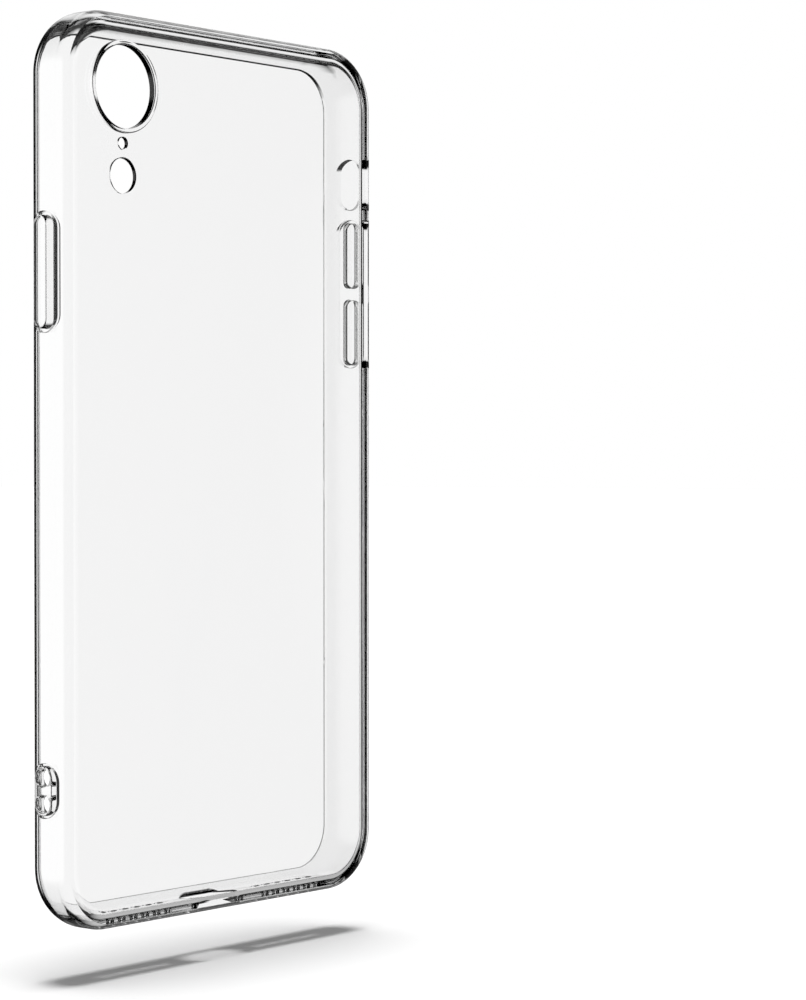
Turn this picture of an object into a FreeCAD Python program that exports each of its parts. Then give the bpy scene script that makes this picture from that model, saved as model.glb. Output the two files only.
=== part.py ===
import FreeCAD, Part
import math
import os

import Sketcher
from FreeCAD import Placement, Rotation, Vector

# Clear two-material phone case: a hard back plate, a soft bumper frame round it, and press-through keys.
#
# Every body is drawn in the case's own lying-down frame, face down on a table and seen from behind:
# local X is the width, local Y runs towards the camera end, and local Z is the height above the plane of
# the front lip, up to the back rim. The placement that all bodies share then stands the case upright:
# local Y becomes +Z, the back faces -Y, and the origin is in the middle of the seat, the plate's inner
# face, that the phone's back lies on.

# Driving dimensions in millimetres: (name in the sheet, value, what it is).
DRIVING_SIZES = (
    ("phone_width", 75.7, "phone that the case holds: width"),
    ("phone_length", 150.9, "phone length"),
    ("phone_depth", 8.3, "phone depth"),
    ("phone_corner_radius", 9.25, "corner radius of the phone's outline"),
    ("fit_gap", 0.05, "gap between the phone and the wall"),
    ("wall_thickness", 1.5, "side wall of the bumper frame"),
    ("lip_height", 0.5, "front lip above the phone's glass"),
    ("lip_inset", 3.3, "outer wall to the lip's inner edge"),
    ("plate_thickness", 0.8, "hard back plate"),
    ("plate_recess", 0.2, "plate's outer face below the back rim"),
    ("plate_inset", 3.5, "outer wall to the plate's edge"),
    ("crest_inset", 1.15, "outer wall to the rim's outer edge"),
    ("bevel_inset", 2.0, "outer wall to the top of the rim's inner bevel"),
    ("back_curve_height", 2.5, "depth over which the wall curves in to the back rim"),
    ("front_curve_height", 4.6, "depth over which the wall curves in to the front lip"),
    ("front_curve_radius", 5.2, "radius of that front curve"),
    ("cavity_back_radius", 2.0, "inner corner between wall and back"),
    ("cavity_front_radius", 3.4, "inner corner between wall and lip"),
    ("lens_column_offset", 25.5, "camera, microphone and flash: left of the centre line"),
    ("camera_above_centre", 64.45, "camera opening above the case's middle"),
    ("camera_bore_radius", 7.0, "camera opening in the collar"),
    ("collar_width", 0.8, "collar's ring, radially"),
    ("collar_rise", 0.5, "collar above the back rim"),
    ("collar_edge_radius", 0.2, "rounding of the collar's outer end"),
    ("microphone_above_centre", 55.0, "rear microphone hole above the case's middle"),
    ("microphone_radius", 1.0, "rear microphone hole"),
    ("flash_above_centre", 49.55, "flash opening above the case's middle"),
    ("flash_radius", 2.95, "flash opening"),
    ("key_rise", 0.7, "keys above the side wall"),
    ("key_inner_inset", 1.1, "outer wall plane to the keys' inner ends"),
    ("key_edge_radius", 0.35, "rounding of the keys' outer edges"),
    ("key_gap", 0.05, "gap between a key and its web"),
    ("web_inset", 0.95, "outer wall plane to the webs' outer faces"),
    ("web_thickness", 0.45, "flexible web round a key"),
    ("power_above_centre", 32.95, "power key above the case's middle"),
    ("power_key_length", 18.8, "power key along the wall"),
    ("power_key_width", 3.2, "power key across the wall"),
    ("power_well_length", 20.2, "well round the power key, along the wall"),
    ("power_well_width", 5.8, "well round the power key, across the wall"),
    ("volume_above_centre", 32.7, "middle of the volume keys above the case's middle"),
    ("volume_key_pitch", 14.3, "distance between the two volume keys' middles"),
    ("volume_key_length", 12.2, "volume key along the wall"),
    ("volume_key_width", 2.7, "volume key across the wall"),
    ("volume_well_length", 27.6, "well round the volume keys, along the wall"),
    ("volume_well_width", 5.2, "well round the volume keys, across the wall"),
    ("mute_above_centre", 53.0, "mute-switch opening above the case's middle"),
    ("mute_length", 9.45, "mute-switch opening along the wall"),
    ("mute_width", 5.1, "mute-switch opening across the wall"),
    ("eyelet_below_centre", 53.0, "lanyard eyelet below the case's middle"),
    ("eyelet_well_length", 9.2, "recess round the eyelet, along the wall"),
    ("eyelet_well_width", 6.2, "recess round the eyelet, across the wall"),
    ("eyelet_well_depth", 0.9, "recess below the outer wall plane"),
    ("eyelet_length", 8.3, "eyelet bar along the wall"),
    ("eyelet_width", 4.2, "eyelet bar across the wall"),
    ("eyelet_rise", 0.2, "eyelet bar above the outer wall plane"),
    ("eyelet_edge_radius", 0.3, "rounding of the eyelet bar's outer edge"),
    ("eyelet_hole_radius", 1.5, "strap hole"),
    ("eyelet_hole_pitch", 4.4, "distance between the two strap holes"),
    ("port_width", 12.4, "charging port opening"),
    ("port_height", 6.4, "charging port opening, front to back"),
    ("speaker_radius", 0.85, "speaker and microphone holes in the lower wall"),
    ("speaker_pitch", 2.8, "distance between neighbouring holes"),
    ("speaker_first", 12.4, "innermost hole from the centre line"),
)
SPEAKER_HOLES_PER_SIDE = 6
TRIM_MARGIN = 2.0       # how far a trimming sketch reaches past the outline
TOLERANCE = 1e-4


class Size:
    """A length that carries its number and the sheet expression that gives it."""

    def __init__(self, text, value):
        self.text = text
        self.value = value

    def __add__(self, other):
        other = as_size(other)
        return Size("(%s + %s)" % (self.text, other.text), self.value + other.value)

    def __sub__(self, other):
        other = as_size(other)
        return Size("(%s - %s)" % (self.text, other.text), self.value - other.value)

    def __mul__(self, factor):
        return Size("(%s * %s)" % (self.text, factor), self.value * factor)

    def __truediv__(self, other):
        other = as_size(other)
        return Size("(%s / %s)" % (self.text, other.text), self.value / other.value)

    def __neg__(self):
        return Size("(0 - %s)" % self.text, -self.value)

    def squared(self):
        return Size("(%s * %s)" % (self.text, self.text), self.value ** 2)


def as_size(number):
    if isinstance(number, Size):
        return number
    return Size(str(number), number)


class Sizes:
    """The sheet's driving dimensions, and the sizes worked out from them."""

    def __init__(self, doc):
        sheet = doc.addObject("Spreadsheet::Sheet", "sizes")
        for row, (name, value, meaning) in enumerate(DRIVING_SIZES, start=1):
            sheet.set("A%d" % row, meaning)
            sheet.set("B%d" % row, str(value))
            sheet.setAlias("B%d" % row, name)
            setattr(self, name, Size("sizes.%s" % name, value))
        doc.recompute()
        self.side = self.fit_gap + self.wall_thickness
        self.width = self.phone_width + self.side * 2
        self.length = self.phone_length + self.side * 2
        self.corner_radius = self.phone_corner_radius + self.side
        self.seat_height = self.lip_height + self.phone_depth
        self.plate_top = self.seat_height + self.plate_thickness
        self.depth = self.plate_top + self.plate_recess
        self.half_width = self.width / 2
        self.middle_height = self.lip_height + self.phone_depth / 2
        self.back_curve_radius = (
            (self.crest_inset.squared() + self.back_curve_height.squared()) / (self.crest_inset * 2))
        self.back_overshoot = self.back_curve_radius - self.back_curve_height
        self.front_overshoot = self.front_curve_radius - self.front_curve_height


def origin_plane(body, role):
    for feature in body.Origin.OriginFeatures:
        if feature.Role == role:
            return feature
    raise ValueError("no plane with role " + role)


def new_body(doc, label):
    body = doc.addObject("PartDesign::Body", label)
    body.Label = label
    return body


def new_sketch(body, name, role, offset=None):
    """A sketch on one of the body's origin planes, moved along the plane's normal by offset."""
    sketch = body.newObject("Sketcher::SketchObject", name)
    sketch.AttachmentSupport = (origin_plane(body, role), [""])
    sketch.MapMode = "FlatFace"
    if offset is not None:
        sketch.AttachmentOffset = Placement(Vector(0, 0, offset.value), Rotation())
        sketch.setExpression("AttachmentOffset.Base.z", offset.text)
    return sketch


def bind(sketch, kind, arguments, size):
    """Add a dimension whose value comes from the sheet. A negative size swaps its two points."""
    if size.value < 0:
        arguments = arguments[2:] + arguments[:2]
        size = -size
    index = sketch.addConstraint(Sketcher.Constraint(kind, *arguments, size.value))
    sketch.setExpression("Constraints[%d]" % index, size.text)


def place_point(sketch, geometry, point, x, y):
    """Fix a point of the sketch at (x, y), where a size of None means on that axis."""
    if x is None:
        sketch.addConstraint(Sketcher.Constraint("PointOnObject", geometry, point, -2))
    else:
        bind(sketch, "DistanceX", (-1, 1, geometry, point), x)
    if y is None:
        sketch.addConstraint(Sketcher.Constraint("PointOnObject", geometry, point, -1))
    else:
        bind(sketch, "DistanceY", (-1, 1, geometry, point), y)


def circle(sketch, x, y, radius):
    centre = Vector(x.value if x else 0, y.value if y else 0, 0)
    index = sketch.addGeometry(Part.Circle(centre, Vector(0, 0, 1), radius.value), False)
    place_point(sketch, index, 3, x, y)
    number = sketch.addConstraint(Sketcher.Constraint("Radius", index, radius.value))
    sketch.setExpression("Constraints[%d]" % number, radius.text)


def arc(centre, radius, start, end):
    return Part.ArcOfCircle(Part.Circle(centre, Vector(0, 0, 1), radius), start, end)


def closed_outline(sketch, arcs):
    """Join the arcs, given in order round the outline, with tangent straight lines."""
    first = sketch.GeometryCount
    count = len(arcs)
    for index, piece in enumerate(arcs):
        following = arcs[(index + 1) % count]
        sketch.addGeometry(piece, False)
        sketch.addGeometry(Part.LineSegment(piece.EndPoint, following.StartPoint), False)
    for index in range(count):
        this_arc = first + 2 * index
        next_arc = first + 2 * ((index + 1) % count)
        sketch.addConstraint(Sketcher.Constraint("Tangent", this_arc, 2, this_arc + 1, 1))
        sketch.addConstraint(Sketcher.Constraint("Tangent", this_arc + 1, 2, next_arc, 1))
        if index:
            sketch.addConstraint(Sketcher.Constraint("Equal", first, this_arc))
    return first


def rounded_rectangle(sketch, width, height, radius):
    """A rectangle with round corners, centred on the sketch's origin."""
    far_x = width.value / 2 - radius.value
    far_y = height.value / 2 - radius.value
    quarter = math.pi / 2
    corners = [(far_x, far_y), (-far_x, far_y), (-far_x, -far_y), (far_x, -far_y)]
    arcs = [arc(Vector(x, y, 0), radius.value, turn * quarter, (turn + 1) * quarter)
            for turn, (x, y) in enumerate(corners)]
    first = closed_outline(sketch, arcs)
    top, left, bottom, right = (first + 1, first + 3, first + 5, first + 7)
    for line in (top, bottom):
        sketch.addConstraint(Sketcher.Constraint("Horizontal", line))
    for line in (left, right):
        sketch.addConstraint(Sketcher.Constraint("Vertical", line))
    sketch.addConstraint(Sketcher.Constraint("Symmetric", first, 3, first + 4, 3, -1, 1))
    bind(sketch, "DistanceX", (left, 1, right, 1), width)
    bind(sketch, "DistanceY", (bottom, 1, top, 1), height)
    number = sketch.addConstraint(Sketcher.Constraint("Radius", first, radius.value))
    sketch.setExpression("Constraints[%d]" % number, radius.text)


def pill(sketch, x, y, length, width, along_x):
    """A slot with round ends. Its long way is the sketch's x axis if along_x, and y if not."""
    half = (length - width) / 2
    reach = half.value
    radius = width.value / 2
    middle = Vector(x.value if x else 0, y.value if y else 0, 0)
    step = Vector(reach, 0, 0) if along_x else Vector(0, reach, 0)
    start = -math.pi / 2 if along_x else 0.0
    arcs = [arc(middle + step, radius, start, start + math.pi),
            arc(middle - step, radius, start + math.pi, start + 2 * math.pi)]
    first = closed_outline(sketch, arcs)
    sketch.addConstraint(Sketcher.Constraint("Horizontal" if along_x else "Vertical", first + 1))
    number = sketch.addConstraint(Sketcher.Constraint("Radius", first, radius))
    sketch.setExpression("Constraints[%d]" % number, (width / 2).text)
    if along_x:
        along = x if x else as_size(0)
        bind(sketch, "DistanceX", (-1, 1, first, 3), along + half)
        bind(sketch, "DistanceX", (-1, 1, first + 2, 3), along - half)
        place_across(sketch, "DistanceY", -1, first, y)
    else:
        along = y if y else as_size(0)
        bind(sketch, "DistanceY", (-1, 1, first, 3), along + half)
        bind(sketch, "DistanceY", (-1, 1, first + 2, 3), along - half)
        place_across(sketch, "DistanceX", -2, first, x)


def place_across(sketch, kind, axis, geometry, size):
    if size is None:
        sketch.addConstraint(Sketcher.Constraint("PointOnObject", geometry, 3, axis))
    else:
        bind(sketch, kind, (-1, 1, geometry, 3), size)


def pad(body, name, sketch, length):
    """Raise the sketch along its plane's normal."""
    feature = body.newObject("PartDesign::Pad", name)
    feature.Profile = sketch
    feature.Length = length.value
    feature.setExpression("Length", length.text)
    body.Document.recompute()
    return feature


def pocket(body, name, sketch, length=None, along_normal=True):
    """Cut the sketch into the body, and make sure that it removes something."""
    before = body.Shape.Volume
    feature = body.newObject("PartDesign::Pocket", name)
    feature.Profile = sketch
    feature.Reversed = along_normal
    if length is None:
        feature.Type = "ThroughAll"
    else:
        feature.Length = length.value
        feature.setExpression("Length", length.text)
    body.Document.recompute()
    if not body.Shape.Volume < before - TOLERANCE:
        raise RuntimeError(name + " cuts nothing")
    return feature


def flat_edges(shape, height, reach=None):
    """Names of the edges at a height, only those of the outline that reaches so far in X if reach is given."""
    names = []
    for number, edge in enumerate(shape.Edges, start=1):
        box = edge.BoundBox
        if abs(box.ZMin - height.value) > TOLERANCE or abs(box.ZMax - height.value) > TOLERANCE:
            continue
        if reach is None or in_outline(shape, edge, height, reach):
            names.append("Edge%d" % number)
    return names


def in_outline(shape, edge, height, reach):
    for wire in shape.Wires:
        box = wire.BoundBox
        flat = abs(box.ZMin - height.value) < TOLERANCE and abs(box.ZMax - height.value) < TOLERANCE
        if flat and abs(box.XMax - reach.value) < TOLERANCE and any(edge.isSame(e) for e in wire.Edges):
            return True
    return False


def dress(body, kind, name, edge_names, **sizes):
    """Add a fillet or chamfer to named edges of the body's newest feature."""
    before = body.Tip
    feature = body.newObject("PartDesign::" + kind, name)
    feature.Base = (before, edge_names)
    if "Size2" in sizes:
        feature.ChamferType = "Two distances"
    for key, size in sizes.items():
        setattr(feature, key, size.value)
        feature.setExpression(key, size.text)
    body.Document.recompute()
    return feature


def outline_sketch(body, sizes, name, inset, height):
    """The case's outline, moved in by inset, on a plane at a height above the lip."""
    sketch = new_sketch(body, name, "XY_Plane", height)
    rounded_rectangle(sketch, sizes.width - inset * 2, sizes.length - inset * 2, sizes.corner_radius - inset)
    return sketch


def side_pill(body, sizes, name, offset, along, length, width):
    """A slot drawn on the plane x = offset, centred on the wall's middle height."""
    sketch = new_sketch(body, name, "YZ_Plane", offset)
    pill(sketch, along, sizes.middle_height, length, width, along_x=True)
    return sketch


def phone_space(doc, sizes):
    """The room that the phone takes, with its long edges rounded. It is cut out of the frame."""
    body = new_body(doc, "phone_space")
    outline = outline_sketch(body, sizes, "phone_outline", sizes.wall_thickness, sizes.lip_height)
    pad(body, "room", outline, sizes.phone_depth)
    back_edges = flat_edges(body.Shape, sizes.seat_height)
    dress(body, "Fillet", "back_rounding", back_edges, Radius=sizes.cavity_back_radius)
    front_edges = flat_edges(body.Shape, sizes.lip_height)
    dress(body, "Fillet", "front_rounding", front_edges, Radius=sizes.cavity_front_radius)
    return body


def bumper_frame(doc, sizes):
    """Soft surround: C-shaped wall, back rim, front lip, and every opening through the walls."""
    body = new_body(doc, "bumper_frame")
    floor = -sizes.front_overshoot
    ceiling = sizes.depth + sizes.back_overshoot
    block = pad(body, "block", outline_sketch(body, sizes, "outline", as_size(0), floor), ceiling - floor)
    dress(body, "Fillet", "back_curve", flat_edges(block.Shape, ceiling), Radius=sizes.back_curve_radius)
    dress(body, "Fillet", "front_curve", flat_edges(body.Shape, floor), Radius=sizes.front_curve_radius)
    spare = as_size(-TRIM_MARGIN)
    pocket(body, "rim_plane", outline_sketch(body, sizes, "rim_trim", spare, sizes.depth))
    lip_trim = outline_sketch(body, sizes, "lip_trim", spare, as_size(0))
    pocket(body, "lip_plane", lip_trim, along_normal=False)

    cavity = body.newObject("PartDesign::Boolean", "cavity")
    cavity.Type = "Cut"
    cavity.setObjects([phone_space(doc, sizes)])
    doc.recompute()

    middle = sizes.middle_height
    plate_outline = outline_sketch(body, sizes, "plate_outline", sizes.plate_inset, middle)
    pocket(body, "plate_opening", plate_outline)
    lip_outline = outline_sketch(body, sizes, "lip_outline", sizes.lip_inset, middle)
    pocket(body, "lip_opening", lip_outline, along_normal=False)
    rim_edges = flat_edges(body.Shape, sizes.depth, sizes.half_width - sizes.plate_inset)
    bevel_width = sizes.plate_inset - sizes.bevel_inset
    dress(body, "Chamfer", "rim_bevel", rim_edges, Size=bevel_width, Size2=sizes.plate_recess)

    cut_side_openings(body, sizes)
    cut_lower_openings(body, sizes)
    return body


def cut_side_openings(body, sizes):
    """Wells and slots in the two side walls. Power and lanyard are at -X, volume and mute at +X."""
    centre = as_size(0)
    power = side_pill(body, sizes, "power_well_outline", centre, sizes.power_above_centre,
                      sizes.power_well_length, sizes.power_well_width)
    pocket(body, "power_well", power, along_normal=False)
    volume = side_pill(body, sizes, "volume_well_outline", centre, sizes.volume_above_centre,
                       sizes.volume_well_length, sizes.volume_well_width)
    pocket(body, "volume_well", volume)
    mute = side_pill(body, sizes, "mute_outline", centre, sizes.mute_above_centre,
                     sizes.mute_length, sizes.mute_width)
    pocket(body, "mute_opening", mute)
    eyelet = side_pill(body, sizes, "eyelet_slot_outline", centre, -sizes.eyelet_below_centre,
                       sizes.eyelet_length, sizes.eyelet_width)
    pocket(body, "eyelet_slot", eyelet, along_normal=False)
    recess_floor = sizes.eyelet_well_depth - sizes.half_width
    recess = side_pill(body, sizes, "eyelet_recess_outline", recess_floor, -sizes.eyelet_below_centre,
                       sizes.eyelet_well_length, sizes.eyelet_well_width)
    pocket(body, "eyelet_recess", recess, along_normal=False)


def cut_lower_openings(body, sizes):
    """Charging port and the two rows of round holes in the lower wall, at -Y."""
    port = new_sketch(body, "port_outline", "XZ_Plane")
    pill(port, None, sizes.middle_height, sizes.port_width, sizes.port_height, along_x=True)
    pocket(body, "charging_port", port, along_normal=True)
    holes = new_sketch(body, "speaker_outlines", "XZ_Plane")
    for side in (-1, 1):
        for number in range(SPEAKER_HOLES_PER_SIDE):
            along = (sizes.speaker_first + sizes.speaker_pitch * number) * side
            circle(holes, along, sizes.middle_height, sizes.speaker_radius)
    pocket(body, "speaker_holes", holes, along_normal=True)


def back_plate(doc, sizes):
    """Hard clear panel that the phone's back lies on, with its three round openings."""
    body = new_body(doc, "back_plate")
    outline = outline_sketch(body, sizes, "plate_outline", sizes.plate_inset, sizes.seat_height)
    pad(body, "panel", outline, sizes.plate_thickness)
    openings = new_sketch(body, "opening_outlines", "XY_Plane", sizes.middle_height)
    column = -sizes.lens_column_offset
    circle(openings, column, sizes.camera_above_centre, sizes.camera_bore_radius + sizes.collar_width)
    circle(openings, column, sizes.microphone_above_centre, sizes.microphone_radius)
    circle(openings, column, sizes.flash_above_centre, sizes.flash_radius)
    pocket(body, "openings", openings)
    return body


def camera_collar(doc, sizes):
    """Soft guard ring that lines the camera opening and stands above the back rim."""
    body = new_body(doc, "camera_collar")
    ring = new_sketch(body, "ring_outline", "XY_Plane", sizes.seat_height)
    column = -sizes.lens_column_offset
    outer_radius = sizes.camera_bore_radius + sizes.collar_width
    circle(ring, column, sizes.camera_above_centre, outer_radius)
    circle(ring, column, sizes.camera_above_centre, sizes.camera_bore_radius)
    top = sizes.depth + sizes.collar_rise
    pad(body, "ring", ring, top - sizes.seat_height)
    dress(body, "Fillet", "ring_edges", flat_edges(body.Shape, top), Radius=sizes.collar_edge_radius)
    return body


def wall_bar(doc, sizes, label, side, along, length, width, inner_inset, rise, edge_radius):
    """A bar with round ends that stands through the wall on one side, its outer edge rounded."""
    body = new_body(doc, label)
    inner = (sizes.half_width - inner_inset) * side
    sketch = side_pill(body, sizes, "outline", inner, along, length, width)
    bar = body.newObject("PartDesign::Pad", "bar")
    bar.Profile = sketch
    bar.Length = (inner_inset + rise).value
    bar.setExpression("Length", (inner_inset + rise).text)
    bar.Reversed = side < 0
    doc.recompute()
    outer = ((sizes.half_width + rise) * side).value
    edges = ["Edge%d" % number for number, edge in enumerate(body.Shape.Edges, start=1)
             if abs(edge.BoundBox.XMin - outer) < TOLERANCE and abs(edge.BoundBox.XMax - outer) < TOLERANCE]
    dress(body, "Fillet", "outer_edge", edges, Radius=edge_radius)
    return body


def web(doc, sizes, label, side, well, keys):
    """Thin membrane that fills a key well round its keys. Well and keys are (along, length, width)."""
    body = new_body(doc, label)
    inner_inset = sizes.web_inset + sizes.web_thickness
    inner = (sizes.half_width - inner_inset) * side
    sketch = new_sketch(body, "outline", "YZ_Plane", inner)
    pill(sketch, well[0], sizes.middle_height, well[1], well[2], along_x=True)
    for along, length, width in keys:
        gap = sizes.key_gap * 2
        pill(sketch, along, sizes.middle_height, length + gap, width + gap, along_x=True)
    membrane = body.newObject("PartDesign::Pad", "membrane")
    membrane.Profile = sketch
    membrane.Length = sizes.web_thickness.value
    membrane.setExpression("Length", sizes.web_thickness.text)
    membrane.Reversed = side < 0
    doc.recompute()
    return body


def lanyard_eyelet(doc, sizes):
    """Strap bar through the -X wall, with two holes for a loop of cord."""
    along = -sizes.eyelet_below_centre
    body = wall_bar(doc, sizes, "lanyard_eyelet", -1, along, sizes.eyelet_length, sizes.eyelet_width,
                    sizes.wall_thickness, sizes.eyelet_rise, sizes.eyelet_edge_radius)
    holes = new_sketch(body, "hole_outlines", "YZ_Plane")
    for end in (-1, 1):
        centre = along + sizes.eyelet_hole_pitch / 2 * end
        circle(holes, centre, sizes.middle_height, sizes.eyelet_hole_radius)
    pocket(body, "strap_holes", holes, along_normal=False)
    return body


def power_key(doc, sizes):
    key = (sizes.power_above_centre, sizes.power_key_length, sizes.power_key_width)
    well = (sizes.power_above_centre, sizes.power_well_length, sizes.power_well_width)
    return [wall_bar(doc, sizes, "power_button", -1, *key, sizes.key_inner_inset, sizes.key_rise,
                     sizes.key_edge_radius),
            web(doc, sizes, "power_button_web", -1, well, [key])]


def volume_keys(doc, sizes):
    half_pitch = sizes.volume_key_pitch / 2
    keys = [(sizes.volume_above_centre + half_pitch * end, sizes.volume_key_length, sizes.volume_key_width)
            for end in (1, -1)]
    well = (sizes.volume_above_centre, sizes.volume_well_length, sizes.volume_well_width)
    labels = ("volume_up_button", "volume_down_button")
    caps = [wall_bar(doc, sizes, label, 1, *key, sizes.key_inner_inset, sizes.key_rise, sizes.key_edge_radius)
            for label, key in zip(labels, keys)]
    return caps + [web(doc, sizes, "volume_button_web", 1, well, keys)]


def check(doc, parts):
    for item in doc.Objects:
        if "Invalid" in item.State or "Error" in item.State:
            raise RuntimeError("%s has state %s" % (item.Label, item.State))
    for body in parts:
        shape = body.Shape
        if shape.isNull() or not shape.isValid() or len(shape.Solids) != 1:
            raise RuntimeError(body.Label + " is not one valid solid")


def main():
    doc = FreeCAD.newDocument("phone_case")
    sizes = Sizes(doc)
    parts = [back_plate(doc, sizes), bumper_frame(doc, sizes), camera_collar(doc, sizes)]
    parts += power_key(doc, sizes)
    parts += volume_keys(doc, sizes)
    parts.append(lanyard_eyelet(doc, sizes))
    # Upright: local Y to +Z and local Z to -Y, with the phone's seat at Y = 0.
    upright = Placement(Vector(0, sizes.seat_height.value, 0), Rotation(Vector(1, 0, 0), 90))
    for body in parts:
        body.Placement = upright
    doc.recompute()
    check(doc, parts)
    os.makedirs("parts", exist_ok=True)
    for body in parts:
        body.Shape.exportStep(os.path.join("parts", body.Label + ".step"))
        box = body.Shape.BoundBox
        print("%-20s volume %9.3f  x %.3f %.3f  y %.3f %.3f  z %.3f %.3f" % (
            body.Label, body.Shape.Volume, box.XMin, box.XMax, box.YMin, box.YMax, box.ZMin, box.ZMax))


main()
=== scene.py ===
import math

import bmesh
import bpy
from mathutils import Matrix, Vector


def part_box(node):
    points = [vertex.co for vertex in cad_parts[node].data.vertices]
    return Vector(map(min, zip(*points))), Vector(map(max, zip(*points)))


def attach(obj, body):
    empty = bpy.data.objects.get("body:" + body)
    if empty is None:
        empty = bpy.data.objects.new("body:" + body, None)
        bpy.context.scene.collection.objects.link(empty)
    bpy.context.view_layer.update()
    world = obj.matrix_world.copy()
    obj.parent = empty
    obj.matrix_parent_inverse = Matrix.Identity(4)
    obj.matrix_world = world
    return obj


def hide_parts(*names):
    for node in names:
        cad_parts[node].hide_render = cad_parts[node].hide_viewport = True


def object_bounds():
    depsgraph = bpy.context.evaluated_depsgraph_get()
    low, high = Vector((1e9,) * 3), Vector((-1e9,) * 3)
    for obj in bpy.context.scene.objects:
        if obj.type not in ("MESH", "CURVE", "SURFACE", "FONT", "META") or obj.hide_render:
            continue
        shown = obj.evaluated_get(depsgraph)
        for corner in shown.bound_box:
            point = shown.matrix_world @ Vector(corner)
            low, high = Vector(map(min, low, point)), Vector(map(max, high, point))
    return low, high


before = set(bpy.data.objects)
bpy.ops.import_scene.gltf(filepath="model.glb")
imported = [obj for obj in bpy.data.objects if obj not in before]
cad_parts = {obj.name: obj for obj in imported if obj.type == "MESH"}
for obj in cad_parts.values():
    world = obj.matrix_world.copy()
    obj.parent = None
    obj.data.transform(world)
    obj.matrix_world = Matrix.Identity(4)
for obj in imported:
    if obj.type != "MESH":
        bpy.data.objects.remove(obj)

cad_box = [list(corner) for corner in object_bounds()]
MM = 0.001

# Sizes in millimetres. A wall section is drawn as (u, d): u is the distance in from the outer wall plane,
# d is the depth from the back rim's plane towards the open front.
low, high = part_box("bumper_frame")
HALF_WIDTH = high.x / MM
HALF_LENGTH = high.z / MM
RIM_Y = low.y / MM
DEPTH = (high.y - low.y) / MM
CORNER = 10.8
SIDE_DEPTH = 5.15        # depth of the keys, slots and holes along the walls
PLATE_U = 3.5            # the back plate's edge
PLATE_BACK = 0.2
RIM_U = 2.0              # inner edge of the flat on the back rim
CREST_U = 1.15           # outer edge of that flat
BACK_D = 2.5             # where the back arc meets the wall
LIP_U = 3.3
LIP_D = 8.9
FRONT_RADIUS = 5.2
CORNER_STEPS = 26
LONG_STEPS = 40
SHORT_STEPS = 20


def arc(centre, radius, start, end, steps):
    """Points on a circle in the section, from angle start to end in degrees."""
    out = []
    for i in range(steps + 1):
        a = math.radians(start + (end - start) * i / steps)
        out.append((centre[0] + radius * math.cos(a), centre[1] + radius * math.sin(a)))
    return out


def rounded(points, radii, steps=4):
    """The closed polygon with each corner whose radius isn't 0 turned into a small arc."""
    out = []
    n = len(points)
    for i, p in enumerate(points):
        r = radii.get(i, 0)
        if not r:
            out.append(p)
            continue
        p = Vector(p)
        a, b = Vector(points[i - 1]) - p, Vector(points[(i + 1) % n]) - p
        da, db = a.normalized(), b.normalized()
        half = da.angle(db) / 2
        cut = min(r / math.tan(half), a.length * 0.45, b.length * 0.45)
        r = cut * math.tan(half)
        centre = p + (da + db).normalized() * (r / math.sin(half))
        s, e = p + da * cut - centre, p + db * cut - centre
        turn = math.atan2(s.x * e.y - s.y * e.x, s.dot(e))
        first = math.atan2(s.y, s.x)
        for k in range(steps + 1):
            t = first + turn * k / steps
            out.append((centre.x + r * math.cos(t), centre.y + r * math.sin(t)))
    return out


def frame_section():
    """The bumper frame's section from the plate's back edge, round the wall and the lip, to its inner edge."""
    back_r = (CREST_U ** 2 + BACK_D ** 2) / (2 * CREST_U)
    crest = math.degrees(math.atan2(-BACK_D, CREST_U - back_r))
    lip_a = math.degrees(math.asin((DEPTH - FRONT_RADIUS) / FRONT_RADIUS))
    inner_lip = math.degrees(math.atan2(LIP_D - 5.9, LIP_U - 4.9))
    points = [(PLATE_U, PLATE_BACK), (RIM_U, 0.0)]
    marks = {1: 0.25}
    marks[len(points)] = 0.12
    points += arc((back_r, BACK_D), back_r, crest, -180, 10)
    points += [(0.0, 3.4), (0.0, 4.3)]
    points += arc((FRONT_RADIUS, FRONT_RADIUS), FRONT_RADIUS, 180, 180 - lip_a, 14)
    marks[len(points) - 1] = 0.2
    marks[len(points)] = 0.2
    points.append((LIP_U, DEPTH))
    marks[len(points)] = 0.12
    points += arc((4.9, 5.9), 3.4, inner_lip, 180, 10)       # cavity's front corner
    points += [(1.5, 4.9), (1.5, 4.0)]
    points += arc((3.5, 3.0), 2.0, 180, 270, 10)             # cavity's back corner
    return rounded(points, marks)


def outline(u):
    """Points (x, z) of the case's outline, u in from its outer wall."""
    r = CORNER - u
    cx, cz = HALF_WIDTH - CORNER, HALF_LENGTH - CORNER
    out = []
    for k, (sx, sz) in enumerate(((1, 1), (-1, 1), (-1, -1), (1, -1))):
        for i in range(CORNER_STEPS + 1):
            a = math.radians(90 * k + 90 * i / CORNER_STEPS)
            out.append((sx * cx + r * math.cos(a), sz * cz + r * math.sin(a)))
        start = Vector(out[-1])
        turn = math.radians(90 * k + 90)
        nx, nz = ((-1, 1), (-1, -1), (1, -1), (1, 1))[k]
        end = Vector((nx * cx + r * math.cos(turn), nz * cz + r * math.sin(turn)))
        steps = SHORT_STEPS if k % 2 == 0 else LONG_STEPS
        for i in range(1, steps):
            p = start.lerp(end, i / steps)
            out.append((p.x, p.y))
    return out


def place(x, d, z):
    """A point in metres in the row frame from width, depth below the back rim and height."""
    return Vector((x, RIM_Y + d, z)) * MM


def new_object(name, bm):
    mesh = bpy.data.meshes.new(name)
    bmesh.ops.recalc_face_normals(bm, faces=bm.faces)
    bm.to_mesh(mesh)
    bm.free()
    obj = bpy.data.objects.new(name, mesh)
    bpy.context.scene.collection.objects.link(obj)
    return obj


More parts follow.
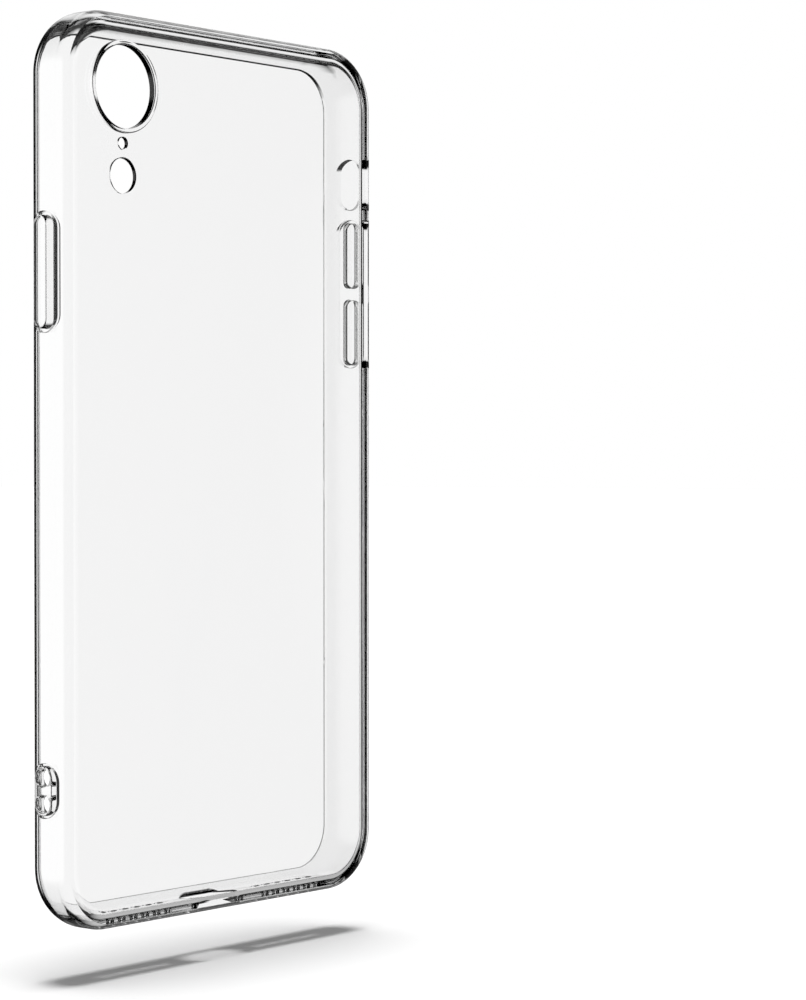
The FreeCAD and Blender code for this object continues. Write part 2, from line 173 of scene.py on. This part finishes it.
def swept_shell(section):
    """The wall swept round the outline, closed by the back panel's outer and inner faces."""
    bm = bmesh.new()
    rings = [[bm.verts.new(place(x, d, z)) for x, z in outline(u)] for u, d in section]
    n = len(rings[0])
    for a, b in zip(rings, rings[1:]):
        for i in range(n):
            j = (i + 1) % n
            bm.faces.new((a[i], a[j], b[j], b[i]))
    bm.faces.new(rings[0])
    bm.faces.new(rings[-1])
    return new_object("clear_shell", bm)


def loft(name, rings):
    """A closed solid through rings of points, with flat ends."""
    bm = bmesh.new()
    made = [[bm.verts.new(p) for p in ring] for ring in rings]
    n = len(made[0])
    for a, b in zip(made, made[1:]):
        for i in range(n):
            j = (i + 1) % n
            bm.faces.new((a[i], a[j], b[j], b[i]))
    bm.faces.new(made[0])
    bm.faces.new(made[-1])
    return new_object(name, bm)


def pill(length, width, steps=16):
    """Points (across, along) of a pill outline."""
    r = width / 2
    half = length / 2 - r
    out = []
    for sign in (1, -1):
        for i in range(steps + 1):
            a = math.radians(180 * i / steps)
            out.append((sign * r * math.cos(a), sign * (half + r * math.sin(a))))
    return out


def circle(radius, steps=64):
    return [(radius * math.cos(2 * math.pi * i / steps), radius * math.sin(2 * math.pi * i / steps))
            for i in range(steps)]


def side_rings(side, height, levels, steps=16):
    """Rings across a side wall: levels are (u, length, width)."""
    out = []
    for u, length, width in levels:
        x = side * (HALF_WIDTH - u)
        out.append([place(x, SIDE_DEPTH + across, height + along)
                    for across, along in pill(length, width, steps)])
    return out


def boolean(target, tools, operation="DIFFERENCE"):
    for tool in tools:
        mod = target.modifiers.new("cut", "BOOLEAN")
        mod.operation = operation
        mod.object = tool
        mod.solver = "EXACT"
    bpy.context.view_layer.update()
    dg = bpy.context.evaluated_depsgraph_get()
    mesh = bpy.data.meshes.new_from_object(target.evaluated_get(dg))
    target.modifiers.clear()
    target.data = mesh
    for tool in tools:
        bpy.data.objects.remove(tool)


def finish_mesh(obj, angle=28.0):
    """Smooth faces with sharp edges kept."""
    bm = bmesh.new()
    bm.from_mesh(obj.data)
    bmesh.ops.remove_doubles(bm, verts=bm.verts, dist=2e-7)
    bmesh.ops.dissolve_degenerate(bm, edges=bm.edges, dist=2e-7)
    bmesh.ops.recalc_face_normals(bm, faces=bm.faces)
    for f in bm.faces:
        f.smooth = True
    for e in bm.edges:
        e.smooth = not (len(e.link_faces) == 2 and e.calc_face_angle(0) > math.radians(angle))
    bm.to_mesh(obj.data)
    bm.free()
    mod = obj.modifiers.new("normals", "WEIGHTED_NORMAL")
    mod.keep_sharp = True
    mod.weight = 60


# ---------------------------------------------------------------------------------------------- shell
shell = swept_shell(frame_section())

CAMERA = (-25.5, 64.45)
MICROPHONE = (-25.5, 55.0)
FLASH = (-25.5, 49.55)


def back_rings(centre, levels, steps=96):
    """Rings round an axis through the back: levels are (d, radius)."""
    return [[place(centre[0] + a, d, centre[1] + b) for a, b in circle(radius, steps)]
            for d, radius in levels]


collar = loft("collar", back_rings(CAMERA, [(0.6, 7.8), (-0.3, 7.8), (-0.34, 7.789), (-0.41, 7.74),
                                            (-0.46, 7.67), (-0.49, 7.6), (-0.5, 7.5)]))
boolean(shell, [collar], "UNION")

cutters = [
    loft("camera_cut", back_rings(CAMERA, [(-2, 7.2), (-0.5, 7.2), (-0.46, 7.12), (-0.4, 7.05), (-0.3, 7.0),
                                           (0.85, 7.0), (0.95, 7.04), (1.02, 7.12), (2, 7.12)])),
    loft("microphone_cut", back_rings(MICROPHONE, [(-1, 1.1), (0.2, 1.1), (0.3, 1.0), (0.9, 1.0), (1.0, 1.08),
                                                   (2, 1.08)], 40)),
    loft("flash_cut", back_rings(FLASH, [(-1, 3.1), (0.2, 3.1), (0.24, 3.03), (0.35, 2.95), (0.9, 2.95),
                                         (1.0, 3.04), (2, 3.04)], 64)),
]


def through(side, height, length, width, u0=-2.0, u1=2.2):
    """A pill-shaped cutter across a side wall, from u0 to u1."""
    return loft("cut", side_rings(side, height, [(u0, length, width), (u1, length, width)]))


MUTE_HEIGHT = 53.0
EYELET_HEIGHT = -53.0
POWER_KEY = (32.95, 18.8, 3.2)          # height, length, width
VOLUME_KEYS = ((39.85, 12.2, 2.7), (25.55, 12.2, 2.7))
KEY_GAP = 0.1

cutters.append(through(1, MUTE_HEIGHT, 9.45, 5.1))
# Each well is an outer recess, an inner relief and slots for its keys in the web between them.
for side, height, well, well_keys in ((-1, 32.95, (20.2, 5.8), (POWER_KEY,)), (1, 32.7, (27.6, 5.2), VOLUME_KEYS)):
    cutters.append(through(side, height, *well, -2.0, 0.95))
    cutters.append(through(side, height, *well, 1.4, 2.2))
    for kz, kl, kw in well_keys:
        cutters.append(through(side, kz, kl + KEY_GAP, kw + KEY_GAP, 0.8, 1.6))
cutters.append(through(-1, EYELET_HEIGHT, 9.2, 6.2, -2.0, 0.9))
boolean(shell, cutters)

bar = loft("bar", side_rings(-1, EYELET_HEIGHT, [
    (1.2, 8.3, 4.2), (0.1, 8.3, 4.2), (0.02, 8.29, 4.19), (-0.07, 8.22, 4.12), (-0.14, 8.1, 4.0),
    (-0.18, 7.95, 3.85), (-0.2, 7.75, 3.65)]))
boolean(shell, [bar], "UNION")
cutters = []
for dz in (2.2, -2.2):
    rings = []
    for u, r in ((-1, 1.75), (-0.2, 1.75), (-0.17, 1.65), (-0.08, 1.54), (0.05, 1.5), (2.2, 1.5)):
        rings.append([place(-(HALF_WIDTH - u), SIDE_DEPTH + a, EYELET_HEIGHT + dz + b)
                      for a, b in circle(r, 40)])
    cutters.append(loft("hole", rings))
# The lower wall has the charging port, with a row of speaker or microphone holes on each side.
LOWER_WALL = (-80, -74)
cutters.append(loft("port", [[place(b, SIDE_DEPTH + a, z) for a, b in pill(12.4, 6.4, 20)] for z in LOWER_WALL]))
for side in (1, -1):
    for i in range(6):
        x = side * (12.4 + 2.8 * i)
        cutters.append(loft("speaker", [[place(x + a, SIDE_DEPTH + b, z) for a, b in circle(0.85, 32)]
                                        for z in LOWER_WALL]))
boolean(shell, cutters)
finish_mesh(shell)
shell.name = "clear_shell"


def key(name, side, height, length, width):
    """A key cap across a side wall, with a rounded edge on its outer face and a small chamfer inside."""
    edge = 0.35
    steps = 6
    levels = [(1.1, length - 0.16, width - 0.16), (1.03, length - 0.05, width - 0.05), (0.95, length, width),
              (0.3, length, width), (-edge, length, width)]
    for i in range(1, steps + 1):
        a = math.radians(90 * i / steps)
        inset = edge * (1 - math.cos(a))
        levels.append((-edge - edge * math.sin(a), length - 2 * inset, width - 2 * inset))
    obj = loft(name, side_rings(side, height, levels, 20))
    finish_mesh(obj)
    return obj


keys = (
    ("power_button", "power_key", key("power_key_cap", -1, *POWER_KEY)),
    ("volume_up_button", "volume_up_key", key("volume_up_key_cap", 1, *VOLUME_KEYS[0])),
    ("volume_down_button", "volume_down_key", key("volume_down_key_cap", 1, *VOLUME_KEYS[1])),
)


# ------------------------------------------------------------------------------------------ materials
class Graph:
    """A node tree, with short calls for the nodes that the materials and the world share."""

    def __init__(self, tree):
        self.tree = tree

    def link(self, source, socket):
        self.tree.links.new(source, socket)

    def ramp(self, value, start, end, low=0.0, high=1.0):
        """low up to start, high from end, in between in a line."""
        node = self.tree.nodes.new("ShaderNodeMapRange")
        self.link(value, node.inputs["Value"])
        node.inputs["From Min"].default_value = start
        node.inputs["From Max"].default_value = end
        node.inputs["To Min"].default_value = low
        node.inputs["To Max"].default_value = high
        return node.outputs["Result"]

    def math(self, operation, *values):
        node = self.tree.nodes.new("ShaderNodeMath")
        node.operation = operation
        for socket, value in zip(node.inputs, values):
            if isinstance(value, (int, float)):
                socket.default_value = value
            else:
                self.link(value, socket)
        return node.outputs[0]


class Surface(Graph):
    """A material's nodes, round its Principled shader."""

    def __init__(self, name):
        self.material = bpy.data.materials.new(name)
        self.material.use_nodes = True
        super().__init__(self.material.node_tree)
        self.shader = self.tree.nodes["Principled BSDF"]
        self.space = self.tree.nodes.new("ShaderNodeTexCoord").outputs["Object"]

    def stretched(self, scale):
        """Object coordinates, scaled by a factor for each axis."""
        node = self.tree.nodes.new("ShaderNodeMapping")
        node.inputs["Scale"].default_value = scale
        self.link(self.space, node.inputs["Vector"])
        return node.outputs[0]

    def noise(self, scale, detail=3.0, rough=0.5):
        """Noise from 0 to 1, with scale in cells per metre along each axis."""
        node = self.tree.nodes.new("ShaderNodeTexNoise")
        self.link(self.stretched(scale), node.inputs["Vector"])
        node.inputs["Scale"].default_value = 1.0
        node.inputs["Detail"].default_value = detail
        node.inputs["Roughness"].default_value = rough
        return node.outputs["Fac"]

    def scratches(self, scale, turn, width):
        """Fine lines: 1 on a line and 0 away from it, where noise lets them show."""
        node = self.tree.nodes.new("ShaderNodeMapping")
        node.inputs["Rotation"].default_value = (0.0, turn, 0.0)
        node.inputs["Scale"].default_value = scale
        self.link(self.space, node.inputs["Vector"])
        cells = self.tree.nodes.new("ShaderNodeTexVoronoi")
        cells.feature = "DISTANCE_TO_EDGE"
        cells.inputs["Scale"].default_value = 1.0
        self.link(node.outputs[0], cells.inputs["Vector"])
        line = self.ramp(cells.outputs["Distance"], width, 0.0)
        return self.math("MULTIPLY", line, self.ramp(self.noise((55, 55, 55)), 0.5, 0.68))

    def distance_from_middle(self, axis):
        """How far a point is from the object's middle plane along an axis, in metres."""
        node = self.tree.nodes.new("ShaderNodeSeparateXYZ")
        self.link(self.space, node.inputs[0])
        return self.math("ABSOLUTE", node.outputs[axis])

    def tint(self, value, first, last):
        """Base colour between two tones."""
        node = self.tree.nodes.new("ShaderNodeMix")
        node.data_type = "RGBA"
        self.link(value, node.inputs["Factor"])
        node.inputs[6].default_value = (*first, 1.0)
        node.inputs[7].default_value = (*last, 1.0)
        self.link(node.outputs[2], self.shader.inputs["Base Color"])

    def bump(self, height, distance, strength=1.0):
        node = self.tree.nodes.new("ShaderNodeBump")
        node.inputs["Strength"].default_value = strength
        node.inputs["Distance"].default_value = distance
        self.link(height, node.inputs["Height"])
        self.link(node.outputs[0], self.shader.inputs["Normal"])

    def clear(self, ior, tone, density):
        """A clear solid: light passes through it and is absorbed a little along the way."""
        self.shader.inputs["Transmission Weight"].default_value = 1.0
        self.shader.inputs["IOR"].default_value = ior
        volume = self.tree.nodes.new("ShaderNodeVolumeAbsorption")
        volume.inputs["Color"].default_value = (*tone, 1.0)
        volume.inputs["Density"].default_value = density
        self.link(volume.outputs[0], self.tree.nodes["Material Output"].inputs["Volume"])


CLEAR_IOR = 1.5
CLEAR_TONE = (0.6, 0.61, 0.62)
CLEAR_DENSITY = 10.0
WAVE_HEIGHT = 0.00003
SATIN_HEIGHT = 0.000003


def shell_material():
    """A polished hard panel with hairline scratches, in a soft moulded frame with faint flow waves."""
    m = Surface("clear_moulding")
    m.clear(CLEAR_IOR, CLEAR_TONE, CLEAR_DENSITY)
    fade = 0.0006
    half_width, half_length = (HALF_WIDTH - PLATE_U) * MM, (HALF_LENGTH - PLATE_U) * MM
    in_width = m.ramp(m.distance_from_middle("X"), half_width + fade, half_width)
    in_length = m.ramp(m.distance_from_middle("Z"), half_length + fade, half_length)
    panel_area = m.math("MULTIPLY", in_width, in_length)
    frame_area = m.math("SUBTRACT", 1.0, panel_area)
    hairlines = m.math("MAXIMUM", m.scratches((900, 900, 38), 0.5, 0.02),
                       m.scratches((45, 700, 1000), -0.35, 0.02))
    waves = m.noise((160, 160, 26), 1.5)
    grain = m.noise((5200, 5200, 5200), 2.0)
    smudges = m.ramp(m.noise((34, 60, 24), 4.0, 0.6), 0.55, 0.75)
    wear = m.math("MULTIPLY", m.ramp(m.noise((420, 420, 420), 4.0, 0.7), 0.5, 0.75), frame_area)
    rough = m.math("ADD", m.math("MULTIPLY", smudges, 0.012), m.math("MULTIPLY", hairlines, 0.05))
    m.link(m.math("ADD", rough, m.math("MULTIPLY", wear, 0.03)), m.shader.inputs["Roughness"])
    m.tint(m.math("ADD", m.math("MULTIPLY", smudges, 0.5), m.math("MULTIPLY", wear, 0.5)),
           (1.0, 1.0, 1.0), (0.985, 0.987, 0.99))
    height = m.math("ADD", m.math("MULTIPLY", waves, frame_area), m.math("MULTIPLY", hairlines, -0.02))
    fine = m.math("MULTIPLY", m.math("MULTIPLY", grain, frame_area), 0.004)
    m.bump(m.math("ADD", height, fine), WAVE_HEIGHT)
    return m.material


def key_material():
    """The same soft plastic, satin on the key's outer face and polished down its sides."""
    m = Surface("clear_key")
    m.clear(CLEAR_IOR, CLEAR_TONE, CLEAR_DENSITY)
    top = m.ramp(m.distance_from_middle("X"), (HALF_WIDTH + 0.55) * MM, (HALF_WIDTH + 0.68) * MM)
    grain = m.noise((6500, 6500, 6500), 2.0)
    rubbed = m.ramp(m.noise((300, 300, 120), 3.0, 0.6), 0.35, 0.7)
    satin = m.math("MULTIPLY", top, m.ramp(rubbed, 0.0, 1.0, 0.06, 0.02))
    m.link(m.math("ADD", satin, 0.004), m.shader.inputs["Roughness"])
    m.tint(m.math("MULTIPLY", top, rubbed), (1.0, 1.0, 1.0), (0.98, 0.983, 0.987))
    m.bump(m.math("MULTIPLY", grain, top), SATIN_HEIGHT)
    return m.material


clear_shell_material = shell_material()
shell.data.materials.clear()
shell.data.materials.append(clear_shell_material)
clear_key_material = key_material()
for node, body, obj in keys:
    obj.data.materials.append(clear_key_material)
    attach(obj, body)
    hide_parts(node)
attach(shell, "case")
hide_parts("bumper_frame", "back_plate", "camera_collar", "power_button_web", "volume_button_web",
            "lanyard_eyelet")

# --------------------------------------------------------------------------------------------- studio
scene = bpy.context.scene
scene.view_settings.view_transform = "Standard"
world = bpy.data.worlds.new("studio")
scene.world = world
world.use_nodes = True
room = Graph(world.node_tree)
direction = room.tree.nodes.new("ShaderNodeTexCoord").outputs["Generated"]
depths = room.tree.nodes.new("ShaderNodeLightPath").outputs


def along(axis):
    """How far the direction of the light lies along an axis."""
    node = room.tree.nodes.new("ShaderNodeVectorMath")
    node.operation = "DOT_PRODUCT"
    room.link(direction, node.inputs[0])
    node.inputs[1].default_value = axis
    return node.outputs["Value"]


def sine(degrees):
    return math.sin(math.radians(degrees))


def cosine(degrees):
    return math.cos(math.radians(degrees))


def bearing(azimuth, elevation=0.0):
    """The direction at an azimuth from +Y towards +X, and an elevation, in degrees."""
    return (cosine(elevation) * sine(azimuth), cosine(elevation) * cosine(azimuth), sine(elevation))


def softbox(azimuth, outer, inner, elevation=0.0):
    """1 within inner degrees of a direction, and 0 from outer degrees."""
    return room.ramp(along(bearing(azimuth, elevation)), cosine(outer), cosine(inner))


def lighter(first, second):
    return room.math("MAXIMUM", first, second)


# Light that comes straight through meets a white surround below a dark ceiling. Light that is mirrored meets a
# dark room, which draws the dark edge lines, with a wide softbox to the left, a narrow one to the right, a thin
# strip ahead, one above and a dim one below.
UP = (0, 0, 1)
AHEAD = -3
TOP_BRIGHTNESS = 0.95
LOW_BRIGHTNESS = 0.5
FLOOR_DIMMING = 0.7      # how much less of the surround the floor sees, which deepens the shadow

upright = room.ramp(room.math("ABSOLUTE", along(UP)), sine(32), sine(18))
strip = room.math("MULTIPLY", room.ramp(room.math("ABSOLUTE", along(bearing(AHEAD + 90))), sine(5), sine(3)),
                  room.ramp(along(bearing(AHEAD)), 0.0, 0.1))
sides = lighter(softbox(290, 46, 34), softbox(108, 24, 15))
boxes = room.math("MULTIPLY", lighter(sides, strip), upright)
top_box = room.math("MULTIPLY", softbox(62, 32, 18, 36), TOP_BRIGHTNESS)
low_box = room.math("MULTIPLY", softbox(92, 44, 26, -38), LOW_BRIGHTNESS)
mirrored = lighter(boxes, lighter(top_box, low_box))

straight = room.math("LESS_THAN", depths["Glossy Depth"], 0.5)
from_camera = room.math("LESS_THAN", depths["Ray Depth"], 0.5)
from_floor = room.math("GREATER_THAN", depths["Diffuse Depth"], 0.5)
ceiling = room.ramp(along(UP), sine(20), sine(13))
seen = room.math("ADD", room.math("MULTIPLY", straight, ceiling),
                 room.math("MULTIPLY", room.math("SUBTRACT", 1.0, straight), mirrored))
seen = lighter(seen, lighter(from_camera, from_floor))
dimming = room.math("SUBTRACT", 1.0, room.math("MULTIPLY", from_floor, FLOOR_DIMMING))
background = room.tree.nodes["Background"].inputs
room.link(room.math("MULTIPLY", seen, dimming), background["Color"])
background["Strength"].default_value = 1.0

cam_data = bpy.data.cameras.new("camera")
cam = bpy.data.objects.new("camera", cam_data)
scene.collection.objects.link(cam)
cam.location = (-0.36013, -0.33616, 0.00220)
cam.rotation_euler = (math.radians(90 - 0.86), 0, math.radians(-50.62))
cam_data.lens = 100.99
cam_data.sensor_width = 36.0
cam_data.clip_start = 0.01
scene.camera = cam

# The case stands clear of a pale floor, and a broad lamp overhead gives the soft shadow below it.
FLOOR_GAP = 0.0085
FLOOR_REACH = 6.0
floor_bm = bmesh.new()
bmesh.ops.create_grid(floor_bm, x_segments=12, y_segments=12, size=FLOOR_REACH)
floor = new_object("floor", floor_bm)
floor.location.z = cad_box[0][2] - FLOOR_GAP
paper = Surface("pale_floor")
mottle = paper.noise((9, 9, 9), 4.0)
fibre = paper.noise((900, 700, 900), 3.0, 0.6)
paper.tint(paper.math("ADD", paper.math("MULTIPLY", mottle, 0.6), paper.math("MULTIPLY", fibre, 0.4)),
           (0.90, 0.90, 0.90), (0.93, 0.93, 0.93))
paper.link(paper.ramp(fibre, 0.3, 0.7, 0.75, 0.9), paper.shader.inputs["Roughness"])
paper.shader.inputs["Specular IOR Level"].default_value = 0.0
paper.bump(fibre, 0.00004, 0.3)
floor.data.materials.append(paper.material)
floor.visible_transmission = False
floor.visible_glossy = False

lamp_data = bpy.data.lights.new("overhead", "SUN")
lamp_data.energy = 3.05
lamp_data.angle = math.radians(26)
lamp = bpy.data.objects.new("overhead", lamp_data)
scene.collection.objects.link(lamp)
lamp.visible_glossy = False
lamp.visible_transmission = False
